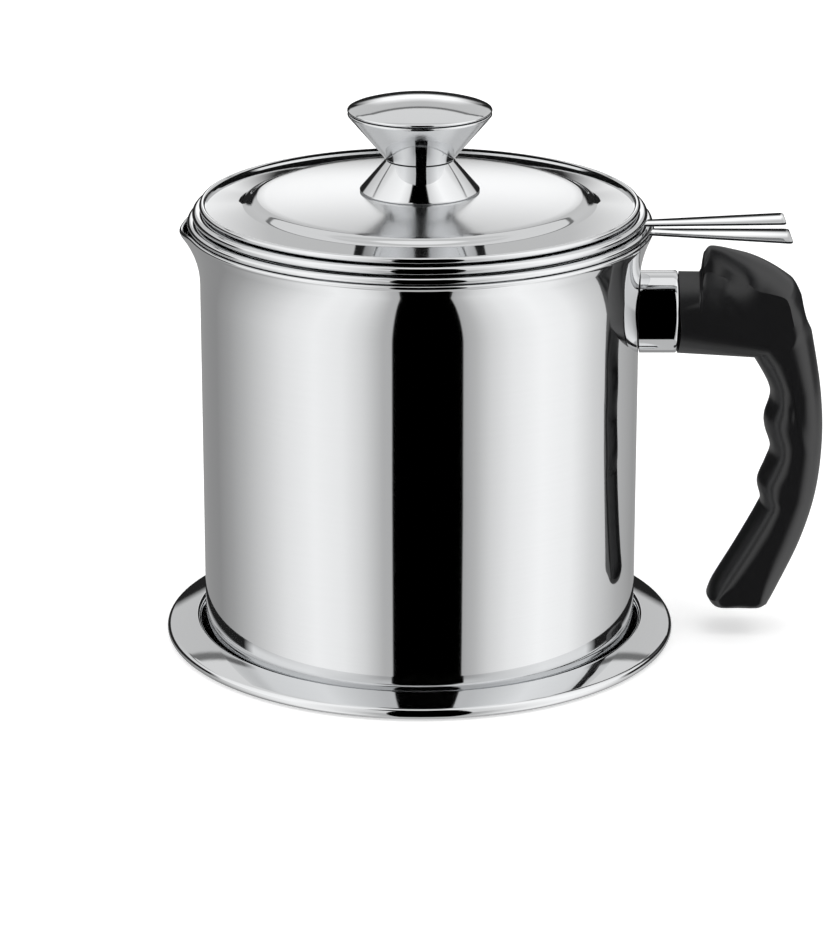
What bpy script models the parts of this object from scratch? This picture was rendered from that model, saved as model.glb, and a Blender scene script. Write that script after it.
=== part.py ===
"""Bacon grease container: a flared steel pot on a tray, two nested strainers, a domed lid and a moulded handle.

Metres, +Z up. The origin is on the pot's axis, on the underside of the tray. The handle points to +X and the
spout to -X.
"""

import math

import bmesh
import bpy
from mathutils import Matrix, Vector

# Units and shared clearances
MM = 0.001
GAP = 0.3 * MM
OVERRUN = 2.0 * MM
MERGE = 0.001 * MM
ROUND_STEPS = 44
SMALL_STEPS = 24
FASTENER_STEPS = 16
BEAD_STEPS = 5

# Tray
TRAY_SHEET = 0.6 * MM
TRAY_BRIM = 9.3 * MM
TRAY_CREST_HEIGHT = 4.8 * MM
TRAY_BEAD_RADIUS = 1.55 * MM
TRAY_BEAD_LIFT = 0.1 * MM
TRAY_POT_PLAY = 0.8 * MM

# Pot
POT_RADIUS = 59.3 * MM
POT_SHEET = 0.6 * MM
POT_FOOT_ROUND = 3.5 * MM
POT_WALL_HEIGHT = 104.3 * MM
POT_FLARE_HEIGHT = 6.6 * MM
POT_FLARE_REACH = 4.1 * MM
POT_LIP_HEIGHT = 3.2 * MM
POT_BEAD_RADIUS = 1.0 * MM
SPOUT_REACH = 1.7 * MM
SPOUT_DROP = 1.3 * MM
SPOUT_HALF_ANGLE = math.radians(17)

# Fine strainer, the lower one
FINE_SHEET = 0.5 * MM
FINE_WALL_PLAY = 0.8 * MM
FINE_DRAFT = 0.7 * MM
FINE_RIM_OVERHANG = 3.2 * MM
FINE_BEAD_RADIUS = 0.95 * MM
FINE_DEPTH = 33.0 * MM
FINE_FLOOR_WIDTH = 7.2 * MM
MESH_THICKNESS = 0.4 * MM
MESH_LAP = 4.0 * MM
RING_THICKNESS = 0.9 * MM

# Coarse strainer, the upper one
COARSE_SHEET = 0.5 * MM
COARSE_WALL_PLAY = 0.9 * MM
COARSE_DRAFT = 0.9 * MM
COARSE_RIM_INSET = 1.4 * MM
COARSE_BEAD_RADIUS = 1.1 * MM
COARSE_DEPTH = 17.5 * MM
HOLE_RADIUS = 1.7 * MM
HOLE_MARGIN = 1.0 * MM
HOLES_PER_RING = 6
PUNCH_SIDES = 6
HOLE_RING_STEP = 11.0 * MM

# Corner radius of both strainer cups
CUP_ROUND = 1.6 * MM

# Lifting tabs
TAB_THICKNESS = 0.7 * MM
TAB_LENGTH = 35.8 * MM
TAB_ROOT_WIDTH = 5.4 * MM
TAB_CORNER = 0.8 * MM
TAB_AZIMUTH = math.radians(-12)
FINE_TAB_END_WIDTH = 13.4 * MM
FINE_TAB_TILT = math.radians(1.4)
COARSE_TAB_END_WIDTH = 11.0 * MM
COARSE_TAB_TILT = math.radians(5.0)

# Lid
LID_SHEET = 0.6 * MM
LID_RIM_INSET = 1.9 * MM
LID_BEAD_RADIUS = 0.85 * MM
LID_FLANGE_WIDTH = 8.7 * MM
LID_TROUGH_DEPTH = 2.0 * MM
LID_DOME_RISE = 5.7 * MM
LID_STEPS = 4

# Knob
KNOB_SHEET = 0.8 * MM
SKIRT_RADIUS = 16.1 * MM
SKIRT_HEIGHT = 8.6 * MM
NECK_RADIUS = 9.2 * MM
BOWL_RADIUS = 19.3 * MM
BOWL_HEIGHT = 12.6 * MM
CAP_RISE = 3.2 * MM
CAP_EDGE = 0.7 * MM
CAP_STEPS = 5

# Fasteners
SCREW_RADIUS = 1.9 * MM
SCREW_HEAD_RADIUS = 3.8 * MM
SCREW_HEAD_HEIGHT = 2.4 * MM
NUT_RADIUS = 4.5 * MM
NUT_HEIGHT = 4.0 * MM
NUT_SIDES = 6
WASHER_RADIUS = 4.7 * MM
WASHER_THICKNESS = 0.8 * MM
KNOB_WASHER_RADIUS = 6.5 * MM
SCREW_PAST_NUT = 1.0 * MM

# Handle
HANDLE_BELOW_FLARE = 2.85 * MM
NECK_HALF_HEIGHT = 11.35 * MM
NECK_HALF_WIDTH = 9.0 * MM
NECK_CORNER = 7.6 * MM
FERRULE_LENGTH = 10.0 * MM
FERRULE_SHEET = 0.8 * MM
PLATE_THICKNESS = 1.0 * MM
PLATE_MARGIN = 1.2 * MM
GRIP_REACH = 40.6 * MM
GRIP_ABOVE_AXIS = 16.2 * MM
GRIP_ABOVE_TABLE = 6.6 * MM
GRIP_HALF_WIDTH = 8.0 * MM
GRIP_WIDER_OUTWARDS = 1.25 * MM
GRIP_WIDER_UPWARDS = 1.2 * MM
GRIP_ROUND = 8.5 * MM
GRIP_LAYERS = 3
GRIP_CURVE_STEPS = 3
GRIP_SPINE_LIMIT = 0.8
COUNTERBORE_DEPTH = 6.5 * MM

# Grip outline as shares of its reach and height, from the ferrule's end and from its lowest point. Each row is
# the place along the reach, up the height, and how much of GRIP_ROUND the side edge is rounded by. A run ends at
# a sharp corner.
NECK_TOP_SHARES = (
    (0.137, 0.951, 0.80),
    (0.158, 0.965, 0.35),
    (0.150, 0.980, 0.18),
    (0.176, 0.997, 0.14),
    (0.224, 1.000, 0.10),
)
THUMB_REST_SHARES = (
    (0.224, 1.000, 0.10),
    (0.450, 0.962, 0.08),
    (0.628, 0.928, 0.08),
    (0.788, 0.890, 0.10),
)
BACK_SHARES = (
    (0.788, 0.890, 0.10),
    (0.846, 0.838, 0.45),
    (0.900, 0.774, 0.72),
    (0.972, 0.620, 0.82),
    (0.992, 0.478, 0.82),
    (0.958, 0.332, 0.80),
    (0.862, 0.192, 0.75),
    (0.716, 0.060, 0.50),
    (0.655, 0.014, 0.30),
)
END_SHARES = (
    (0.655, 0.014, 0.30),
    (0.590, 0.002, 0.24),
    (0.440, 0.000, 0.22),
    (0.290, 0.005, 0.22),
    (0.240, 0.028, 0.25),
)
FINGER_SHARES = (
    (0.240, 0.028, 0.25),
    (0.280, 0.074, 0.40),
    (0.424, 0.178, 0.52),
    (0.562, 0.283, 0.55),
    (0.586, 0.312, 0.56),
    (0.562, 0.360, 0.58),
    (0.606, 0.410, 0.60),
    (0.643, 0.458, 0.60),
    (0.603, 0.513, 0.62),
    (0.597, 0.550, 0.64),
    (0.633, 0.604, 0.65),
    (0.606, 0.650, 0.66),
    (0.500, 0.724, 0.70),
)

# Line along the middle of the grip, as shares of its reach and height. The flanks draw in towards it.
SPINE_SHARES = (
    (0.00, 0.84),
    (0.42, 0.83),
    (0.70, 0.75),
    (0.80, 0.62),
    (0.81, 0.47),
    (0.77, 0.33),
    (0.63, 0.17),
    (0.46, 0.065),
)

STEEL = "#D4D5D6"
STEEL_SATIN = "#B9BBBD"
PHENOLIC = "#17171A"


def clear_scene():
    """Removes whatever the file holds before the part is made."""
    for old in list(bpy.data.objects):
        bpy.data.objects.remove(old)


def linear(channel):
    """One sRGB channel from 0 to 1 as linear light."""
    return channel / 12.92 if channel <= 0.04045 else ((channel + 0.055) / 1.055) ** 2.4


def material(name, colour, roughness, metallic):
    """A Principled material from an sRGB hex colour."""
    made = bpy.data.materials.new(name)
    made.use_nodes = True
    shader = made.node_tree.nodes["Principled BSDF"]
    rgb = [linear(int(colour[i : i + 2], 16) / 255) for i in (1, 3, 5)]
    shader.inputs["Base Color"].default_value = (*rgb, 1.0)
    shader.inputs["Roughness"].default_value = roughness
    shader.inputs["Metallic"].default_value = metallic
    return made


def lift_axis(name, height):
    """An empty on the pot's axis that carries the pieces which lift together."""
    axis = bpy.data.objects.new(name, None)
    axis.location = (0, 0, height)
    bpy.context.scene.collection.objects.link(axis)
    return axis


def add(name, bm, mat, axis, smooth_angle=math.radians(35)):
    """Turns a bmesh in world coordinates into a named object that hangs on its axis empty."""
    mesh = bpy.data.meshes.new(name)
    bmesh.ops.recalc_face_normals(bm, faces=bm.faces)
    if axis is not None:
        bmesh.ops.translate(bm, verts=bm.verts, vec=-axis.location)
    bm.to_mesh(mesh)
    bm.free()
    mesh.shade_smooth()
    mesh.set_sharp_from_angle(angle=smooth_angle)
    piece = bpy.data.objects.new(name, mesh)
    bpy.context.scene.collection.objects.link(piece)
    piece.parent = axis
    piece.data.materials.append(mat)
    return piece


def cutter(name, bm):
    """A hidden solid that a Boolean takes away."""
    tool = add(name, bm, STEEL_MAT, None)
    tool.hide_render = True
    tool.display_type = "WIRE"
    return tool


def cut(piece, tool):
    """Takes the cutter away from the piece with a live Boolean."""
    boolean = piece.modifiers.new("cut_" + tool.name, "BOOLEAN")
    boolean.operation = "DIFFERENCE"
    boolean.solver = "EXACT"
    boolean.object = tool


def arc(centre, radius, start, end, steps):
    """Points on a circular arc in the profile plane, angles in degrees, both ends included."""
    angles = [math.radians(start + (end - start) * i / steps) for i in range(steps + 1)]
    return [(centre[0] + radius * math.cos(a), centre[1] + radius * math.sin(a)) for a in angles]


def revolve(profile, steps):
    """Spins a profile of (radius, height) points about +Z. A profile off the axis is closed into a ring."""
    bm = bmesh.new()
    points = [bm.verts.new((r, 0, z)) for r, z in profile]
    on_axis = profile[0][0] == 0 and profile[-1][0] == 0
    pairs = list(zip(points, points[1:]))
    if not on_axis:
        pairs.append((points[-1], points[0]))
    edges = [bm.edges.new(pair) for pair in pairs]
    bmesh.ops.spin(
        bm,
        geom=points + edges,
        cent=(0, 0, 0),
        axis=(0, 0, 1),
        angle=math.tau,
        steps=steps,
        use_merge=True,
    )
    bmesh.ops.remove_doubles(bm, verts=bm.verts, dist=MERGE)
    return bm


def lay_along_x(bm, start, height):
    """Turns a solid made along +Z so that it runs along +X from the given start and height."""
    turn = Matrix.Translation((start, 0, height)) @ Matrix.Rotation(math.pi / 2, 4, "Y")
    bmesh.ops.transform(bm, matrix=turn, verts=bm.verts)
    return bm


def bridge_rings(bm, rings):
    """Joins closed rings of equal length into a skin and caps both ends."""
    count = len(rings[0])
    for low, high in zip(rings, rings[1:]):
        for i in range(count):
            j = (i + 1) % count
            bm.faces.new((low[i], low[j], high[j], high[i]))
    bm.faces.new(list(reversed(rings[0])))
    bm.faces.new(rings[-1])


# Heights and radii that the seats fix, from the table up
TRAY_TOP = TRAY_SHEET
POT_UNDERSIDE = TRAY_TOP + GAP
POT_FOOT_TOP = POT_UNDERSIDE + POT_FOOT_ROUND
POT_FLARE_START = POT_UNDERSIDE + POT_WALL_HEIGHT
POT_FLARE_END = POT_FLARE_START + POT_FLARE_HEIGHT
POT_BEAD_Z = POT_FLARE_END + POT_LIP_HEIGHT
POT_LIP_RADIUS = POT_RADIUS + POT_FLARE_REACH
POT_BEAD_R = POT_LIP_RADIUS - POT_BEAD_RADIUS / 2
POT_INSIDE = POT_RADIUS - POT_SHEET

FINE_RIM_RADIUS = POT_RADIUS + FINE_RIM_OVERHANG
FINE_BEAD_R = FINE_RIM_RADIUS - FINE_BEAD_RADIUS
FINE_SEAT_REACH = POT_BEAD_RADIUS + FINE_BEAD_RADIUS + GAP
FINE_BEAD_Z = POT_BEAD_Z + math.sqrt(FINE_SEAT_REACH**2 - (POT_BEAD_R - FINE_BEAD_R) ** 2)
FINE_TOP = FINE_BEAD_Z + FINE_BEAD_RADIUS
FINE_WALL = POT_INSIDE - FINE_WALL_PLAY
FINE_FLOOR = FINE_TOP - FINE_DEPTH

COARSE_RIM_RADIUS = FINE_RIM_RADIUS - COARSE_RIM_INSET
COARSE_BEAD_R = COARSE_RIM_RADIUS - COARSE_BEAD_RADIUS
COARSE_BEAD_Z = FINE_TOP + GAP + COARSE_BEAD_RADIUS
COARSE_TOP = COARSE_BEAD_Z + COARSE_BEAD_RADIUS
COARSE_WALL = FINE_WALL - FINE_SHEET - COARSE_WALL_PLAY
COARSE_FLOOR = COARSE_TOP - COARSE_DEPTH
HOLE_REACH = COARSE_WALL - COARSE_DRAFT - CUP_ROUND - HOLE_RADIUS - HOLE_MARGIN
HOLE_RINGS = int(HOLE_REACH / HOLE_RING_STEP)

LID_RIM_RADIUS = COARSE_RIM_RADIUS - LID_RIM_INSET
LID_TROUGH_RADIUS = LID_RIM_RADIUS - LID_FLANGE_WIDTH
LID_BEAD_R = LID_RIM_RADIUS - LID_BEAD_RADIUS
LID_BEAD_Z = COARSE_TOP + GAP + LID_BEAD_RADIUS
LID_TROUGH_Z = LID_BEAD_Z - LID_TROUGH_DEPTH
LID_APEX = LID_TROUGH_Z + LID_DOME_RISE

FERRULE_START = POT_RADIUS + GAP
FERRULE_END = FERRULE_START + FERRULE_LENGTH
GRIP_START = FERRULE_END + GAP
HANDLE_HEIGHT = POT_FLARE_START - HANDLE_BELOW_FLARE - NECK_HALF_HEIGHT
GRIP_HEIGHT = HANDLE_HEIGHT + GRIP_ABOVE_AXIS - GRIP_ABOVE_TABLE
GRIP_OUTER = GRIP_START + GRIP_REACH


def base_tray(mat, axis):
    """A saucer whose floor lies on the table, with a ring that keeps the pot in place and a rolled edge."""
    sheet = TRAY_SHEET
    recess = POT_RADIUS + TRAY_POT_PLAY
    crest = recess + TRAY_SHEET * 2
    bead_r = recess + TRAY_SHEET + TRAY_BRIM - TRAY_BEAD_RADIUS
    bead_z = TRAY_BEAD_LIFT + TRAY_BEAD_RADIUS
    bead = arc((bead_r, bead_z), TRAY_BEAD_RADIUS, -180, 90, BEAD_STEPS)
    floor_edge = recess - TRAY_CREST_HEIGHT / 2
    under = [
        (0, 0),
        (floor_edge, 0),
        (recess - sheet / 2, sheet),
        (recess + sheet, TRAY_CREST_HEIGHT / 2),
        (crest, TRAY_CREST_HEIGHT - sheet),
        (bead_r - TRAY_BEAD_RADIUS, bead_z + TRAY_BEAD_RADIUS - sheet),
    ]
    over = [
        (crest + sheet, TRAY_CREST_HEIGHT - sheet / 4),
        (crest, TRAY_CREST_HEIGHT),
        (crest - sheet, TRAY_CREST_HEIGHT - sheet / 2),
        (recess, TRAY_CREST_HEIGHT / 2),
        (recess - sheet, sheet * 2),
        (floor_edge, sheet),
        (0, sheet),
    ]
    return add("base_tray", revolve(under + bead + over, ROUND_STEPS), mat, axis)


def press_spout(bm):
    """Draws the rim out and down round -X, as a press would, and fades out down the flare."""
    for v in bm.verts:
        depth = (v.co.z - POT_FLARE_START) / (POT_FLARE_END - POT_FLARE_START)
        radius = math.hypot(v.co.x, v.co.y)
        if depth <= 0 or radius < POT_INSIDE - POT_SHEET:
            continue
        turn = abs(math.atan2(v.co.y, -v.co.x)) / SPOUT_HALF_ANGLE
        if turn >= 1:
            continue
        share = min(depth, 1) ** 2 * math.cos(turn * math.pi / 2) ** 2
        v.co.x *= 1 + share * SPOUT_REACH / radius
        v.co.y *= 1 + share * SPOUT_REACH / radius
        v.co.z -= share * SPOUT_DROP


def pot_body(mat, axis):
    """The drawn pot: flat floor, rounded foot, straight wall, flared mouth, rolled rim and pressed spout."""
    foot = (POT_RADIUS - POT_FOOT_ROUND, POT_FOOT_TOP)
    flare_shares = ((0.0, 0.0), (0.16, 0.19), (0.60, 0.46), (0.88, 0.70), (1.0, 1.0))
    flare = [
        (POT_RADIUS + r * POT_FLARE_REACH, POT_FLARE_START + z * POT_FLARE_HEIGHT)
        for r, z in flare_shares
    ]
    outside = [(0, POT_UNDERSIDE), *arc(foot, POT_FOOT_ROUND, -90, 0, 3), *flare]
    bead = arc((POT_BEAD_R, POT_BEAD_Z), POT_BEAD_RADIUS, -30, 240, BEAD_STEPS)
    inner_flare = [(r - POT_SHEET, z + POT_SHEET / 4) for r, z in reversed(flare)]
    inner_foot = arc(foot, POT_FOOT_ROUND - POT_SHEET, 0, -90, 3)
    inside = [*inner_flare, *inner_foot, (0, POT_UNDERSIDE + POT_SHEET)]
    bm = revolve(outside + bead + inside, ROUND_STEPS)
    press_spout(bm)
    return add("pot_body", bm, mat, axis)


def cup_profile(wall, draft, sheet, bead_r, bead_z, bead_radius, floor, floor_inner):
    """Profile of a strainer cup: floor, rounded corner, drafted wall, flange and an edge rolled under it."""
    top = bead_z + bead_radius
    foot = wall - draft
    outer_corner = (foot - CUP_ROUND, floor + CUP_ROUND)
    meet = math.degrees(math.asin((bead_radius - sheet) / bead_radius))
    outside = [
        (floor_inner, floor),
        *arc(outer_corner, CUP_ROUND, -90, 0, 2),
        (wall, top - sheet * 2),
        (wall + sheet, top - sheet),
    ]
    bead = arc((bead_r, bead_z), bead_radius, 180 - meet, 450, BEAD_STEPS)
    inside = [
        (wall, top),
        (wall - sheet, top - sheet),
        *arc(outer_corner, CUP_ROUND - sheet, 0, -90, 2),
        (floor_inner, floor + sheet),
    ]
    return outside + bead + inside


def fine_strainer(mat, mesh_mat, axis):
    """The lower cup with an open floor, and the woven disc that a ring clamps on it."""
    foot = FINE_WALL - FINE_DRAFT
    opening = foot - FINE_FLOOR_WIDTH
    profile = cup_profile(
        FINE_WALL, FINE_DRAFT, FINE_SHEET, FINE_BEAD_R, FINE_BEAD_Z, FINE_BEAD_RADIUS, FINE_FLOOR, opening
    )
    add("fine_strainer_cup", revolve(profile, ROUND_STEPS), mat, axis)
    disc_radius = opening + MESH_LAP
    disc_z = FINE_FLOOR + FINE_SHEET + GAP
    disc_top = disc_z + MESH_THICKNESS
    disc = [(0, disc_z), (disc_radius, disc_z), (disc_radius, disc_top), (0, disc_top)]
    add("fine_strainer_mesh", revolve(disc, ROUND_STEPS), mesh_mat, axis)
    ring_z = disc_top + GAP
    ring_top = ring_z + RING_THICKNESS
    ring = [(opening, ring_z), (disc_radius, ring_z), (disc_radius, ring_top), (opening, ring_top)]
    add("fine_strainer_ring", revolve(ring, ROUND_STEPS), mat, axis)


def punched_holes():
    """Round punches in rings about the axis, one in the middle, long enough to pass through the cup's floor."""
    bm = bmesh.new()
    places = [(0, 0)]
    for ring in range(1, HOLE_RINGS + 1):
        count = ring * HOLES_PER_RING
        for i in range(count):
            turn = math.tau * i / count
            places.append((ring * HOLE_RING_STEP * math.cos(turn), ring * HOLE_RING_STEP * math.sin(turn)))
    for x, y in places:
        punch = Matrix.Translation((x, y, COARSE_FLOOR + COARSE_SHEET / 2))
        bmesh.ops.create_cone(
            bm,
            cap_ends=True,
            segments=PUNCH_SIDES,
            radius1=HOLE_RADIUS,
            radius2=HOLE_RADIUS,
            depth=COARSE_SHEET + OVERRUN,
            matrix=punch,
        )
    return bm


def coarse_strainer(mat, axis):
    """The upper cup, whose whole floor is punched with rings of holes."""
    profile = cup_profile(
        COARSE_WALL,
        COARSE_DRAFT,
        COARSE_SHEET,
        COARSE_BEAD_R,
        COARSE_BEAD_Z,
        COARSE_BEAD_RADIUS,
        COARSE_FLOOR,
        0,
    )
    cup = add("coarse_strainer_cup", revolve(profile, ROUND_STEPS), mat, axis)
    cut(cup, cutter("strainer_punches", punched_holes()))


def lifting_tab(name, root_radius, height, end_width, tilt, mat, axis):
    """A flat strip that widens outwards. Its root follows the rim that it is welded to."""
    root = TAB_ROOT_WIDTH / 2
    end = end_width / 2
    inner = [(math.sqrt(root_radius**2 - y**2) - root_radius, y) for y in (-root, 0, root)]
    outer = [
        (TAB_LENGTH - TAB_CORNER, end),
        (TAB_LENGTH, end - TAB_CORNER),
        (TAB_LENGTH, TAB_CORNER - end),
        (TAB_LENGTH - TAB_CORNER, -end),
    ]
    bm = bmesh.new()
    rings = [
        [bm.verts.new((x, y, z)) for x, y in inner + outer] for z in (-TAB_THICKNESS / 2, TAB_THICKNESS / 2)
    ]
    bridge_rings(bm, rings)
    place = (
        Matrix.Rotation(TAB_AZIMUTH, 4, "Z")
        @ Matrix.Translation((root_radius, 0, height))
        @ Matrix.Rotation(-tilt, 4, "Y")
    )
    bmesh.ops.transform(bm, matrix=place, verts=bm.verts)
    return add(name, bm, mat, axis)


def lid_height(radius):
    """Height of the lid's upper face over the dome."""
    return LID_APEX - LID_DOME_RISE * (radius / LID_TROUGH_RADIUS) ** 2


def lid_shell(mat, axis):
    """Dome, trough and rolled edge, with a hole for the knob's screw."""
    hole = SCREW_RADIUS + GAP
    dome_span = LID_TROUGH_RADIUS - hole - LID_TROUGH_DEPTH
    dome = [hole + dome_span * i / LID_STEPS for i in range(LID_STEPS + 1)]
    rise_shares = ((0.0, 0.0), (0.28, 0.10), (0.60, 0.46), (0.84, 0.86))
    span = LID_BEAD_R - LID_BEAD_RADIUS - LID_TROUGH_RADIUS
    climb = [
        (LID_TROUGH_RADIUS + r * span, LID_TROUGH_Z + z * LID_TROUGH_DEPTH) for r, z in rise_shares
    ]
    over = [(r, lid_height(r)) for r in dome] + climb
    bead = arc((LID_BEAD_R, LID_BEAD_Z), LID_BEAD_RADIUS, 175, -135, BEAD_STEPS + 1)
    under = [(r, z - LID_SHEET) for r, z in reversed(over)]
    return add("lid_shell", revolve(over + bead + under, ROUND_STEPS), mat, axis)


def knob(mat, axis):
    """Two spun cones neck to neck, a domed cap, the nut inside, and the screw and washer under the lid."""
    bore = SCREW_RADIUS + GAP
    skirt_z = lid_height(SKIRT_RADIUS) + GAP
    skirt_top = skirt_z + SKIRT_HEIGHT
    skirt = [
        (SKIRT_RADIUS - KNOB_SHEET, lid_height(SKIRT_RADIUS - KNOB_SHEET) + GAP),
        (SKIRT_RADIUS, skirt_z),
        (SKIRT_RADIUS, skirt_z + KNOB_SHEET / 2),
        (NECK_RADIUS, skirt_top),
        (bore, skirt_top),
        (bore, skirt_top - KNOB_SHEET),
        (NECK_RADIUS - KNOB_SHEET, skirt_top - KNOB_SHEET),
    ]
    add("knob_skirt", revolve(skirt, SMALL_STEPS), mat, axis)
    bowl_z = skirt_top + GAP
    bowl_top = bowl_z + BOWL_HEIGHT
    bowl = [
        (bore, bowl_z),
        (NECK_RADIUS, bowl_z),
        (BOWL_RADIUS, bowl_top - KNOB_SHEET),
        (BOWL_RADIUS, bowl_top),
        (BOWL_RADIUS - KNOB_SHEET, bowl_top),
        (NECK_RADIUS - KNOB_SHEET, bowl_z + KNOB_SHEET),
        (bore, bowl_z + KNOB_SHEET),
    ]
    add("knob_bowl", revolve(bowl, SMALL_STEPS), mat, axis)
    cap_z = bowl_top + GAP
    shares = [i / CAP_STEPS for i in range(CAP_STEPS + 1)]
    inner_radius = BOWL_RADIUS - KNOB_SHEET * 2
    under = [(s * inner_radius, cap_z + CAP_RISE * (1 - s**2)) for s in shares]
    over = [
        (s * BOWL_RADIUS, cap_z + CAP_EDGE + CAP_RISE * (1 - s**2)) for s in reversed(shares)
    ]
    rim = [(BOWL_RADIUS - KNOB_SHEET / 4, cap_z)]
    add("knob_cap", revolve(under + rim + over, SMALL_STEPS), mat, axis)
    nut_z = bowl_z + KNOB_SHEET + GAP
    nut_top = nut_z + NUT_HEIGHT
    nut = [(bore, nut_z), (NUT_RADIUS, nut_z), (NUT_RADIUS, nut_top), (bore, nut_top)]
    add("knob_nut", revolve(nut, NUT_SIDES), mat, axis)
    washer_top = lid_height(KNOB_WASHER_RADIUS) - LID_SHEET - GAP
    washer_z = washer_top - WASHER_THICKNESS
    add("knob_washer", revolve(washer_profile(KNOB_WASHER_RADIUS, washer_z), FASTENER_STEPS), mat, axis)
    screw = screw_profile(nut_top + SCREW_PAST_NUT - (washer_z - GAP))
    bm = revolve(screw, FASTENER_STEPS)
    bmesh.ops.translate(bm, verts=bm.verts, vec=(0, 0, washer_z - GAP))
    add("knob_screw", bm, mat, axis)


def washer_profile(radius, height):
    """A flat ring that clears the screw."""
    bore = SCREW_RADIUS + GAP
    top = height + WASHER_THICKNESS
    return [(bore, height), (radius, height), (radius, top), (bore, top)]


def screw_profile(shank):
    """A pan head below zero and a shank of the given length above it."""
    head = SCREW_HEAD_HEIGHT
    round_off = SCREW_HEAD_RADIUS / 4
    return [
        (0, -head),
        (SCREW_HEAD_RADIUS - round_off, -head),
        (SCREW_HEAD_RADIUS, round_off - head),
        (SCREW_HEAD_RADIUS, 0),
        (SCREW_RADIUS, 0),
        (SCREW_RADIUS, shank),
        (0, shank),
    ]


def rounded_section(half_width, half_height, corner, steps=4):
    """A rounded rectangle in the YZ plane round the handle's axis."""
    points = []
    corners = ((1, 1, 0), (-1, 1, 90), (-1, -1, 180), (1, -1, 270))
    for side, up, start in corners:
        centre = (side * (half_width - corner), HANDLE_HEIGHT + up * (half_height - corner))
        points += arc(centre, corner, start, start + 90, steps)
    return points


def handle_ferrule(mat, axis):
    """A bright sleeve whose pot end is cut to the curve of the wall."""
    outside = rounded_section(NECK_HALF_WIDTH, NECK_HALF_HEIGHT, NECK_CORNER)
    inside = rounded_section(
        NECK_HALF_WIDTH - FERRULE_SHEET, NECK_HALF_HEIGHT - FERRULE_SHEET, NECK_CORNER - FERRULE_SHEET
    )

    def saddle(y):
        return math.sqrt(FERRULE_START**2 - y**2)

    bm = bmesh.new()
    loops = []
    for points, at_pot in ((outside, True), (outside, False), (inside, False), (inside, True)):
        loops.append([bm.verts.new((saddle(y) if at_pot else FERRULE_END, y, z)) for y, z in points])
    count = len(outside)
    for a, b in zip(loops, loops[1:] + loops[:1]):
        for i in range(count):
            j = (i + 1) % count
            bm.faces.new((a[i], a[j], b[j], b[i]))
    return add("handle_ferrule", bm, mat, axis)


def handle_plate(mat, axis):
    """The curved plate that is spot welded to the wall inside the ferrule."""
    half_width = NECK_HALF_WIDTH - FERRULE_SHEET - PLATE_MARGIN
    half_height = NECK_HALF_HEIGHT - FERRULE_SHEET - PLATE_MARGIN
    section = rounded_section(half_width, half_height, NECK_CORNER - FERRULE_SHEET - PLATE_MARGIN)
    bm = bmesh.new()
    rings = []
    for radius in (FERRULE_START, FERRULE_START + PLATE_THICKNESS):
        rings.append([bm.verts.new((math.sqrt(radius**2 - y**2), y, z)) for y, z in section])
    bridge_rings(bm, rings)
    bmesh.ops.triangulate(bm, faces=bm.faces)
    return add("handle_weld_plate", bm, mat, axis)


def smooth_run(points, steps):
    """A Catmull-Rom curve through a run of rows. Its ends are the first and last rows."""
    padded = [points[0], *points, points[-1]]
    run = []
    for a, b, c, d in zip(padded, padded[1:], padded[2:], padded[3:]):
        for i in range(steps):
            t = i / steps
            row = []
            for p, q, r, s in zip(a, b, c, d):
                bend = (2 * q) + (r - p) * t + (2 * p - 5 * q + 4 * r - s) * t**2
                row.append((bend + (3 * q - p - 3 * r + s) * t**3) / 2)
            run.append(row)
    return run


def grip_outline():
    """Rows of a point in side view and its side rounding, round the grip from the neck's top corner."""
    neck_top = HANDLE_HEIGHT + NECK_HALF_HEIGHT
    neck_low = HANDLE_HEIGHT - NECK_HALF_HEIGHT
    rows = [(Vector((GRIP_START, neck_top)), NECK_CORNER)]
    runs = (NECK_TOP_SHARES, THUMB_REST_SHARES, BACK_SHARES, END_SHARES, FINGER_SHARES)
    for run in runs:
        for x, z, edge in smooth_run(run, GRIP_CURVE_STEPS):
            rows.append((grip_place(x, z), edge * GRIP_ROUND))
    rows.append((Vector((GRIP_START, neck_low)), NECK_CORNER))
    return rows


def grip_place(x_share, z_share):
    """A point in side view from its shares of the grip's reach and height."""
    return Vector((GRIP_START + x_share * GRIP_REACH, GRIP_ABOVE_TABLE + z_share * GRIP_HEIGHT))


def flank_width(place):
    """Half the grip's width at a point in side view. It grows evenly outwards and upwards, so a flank is flat."""
    x_share = (place.x - GRIP_START) / GRIP_REACH
    z_share = (place.y - GRIP_ABOVE_TABLE) / GRIP_HEIGHT
    return GRIP_HALF_WIDTH + x_share * GRIP_WIDER_OUTWARDS + z_share * GRIP_WIDER_UPWARDS


def towards_spine(point, spine):
    """The way from a point of the outline to the nearest point of the grip's middle line."""
    ways = []
    for a, b in zip(spine, spine[1:]):
        share = (point - a).dot(b - a) / (b - a).length_squared
        ways.append(a.lerp(b, min(max(share, 0), 1)) - point)
    return min(ways, key=lambda way: way.length)


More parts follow.
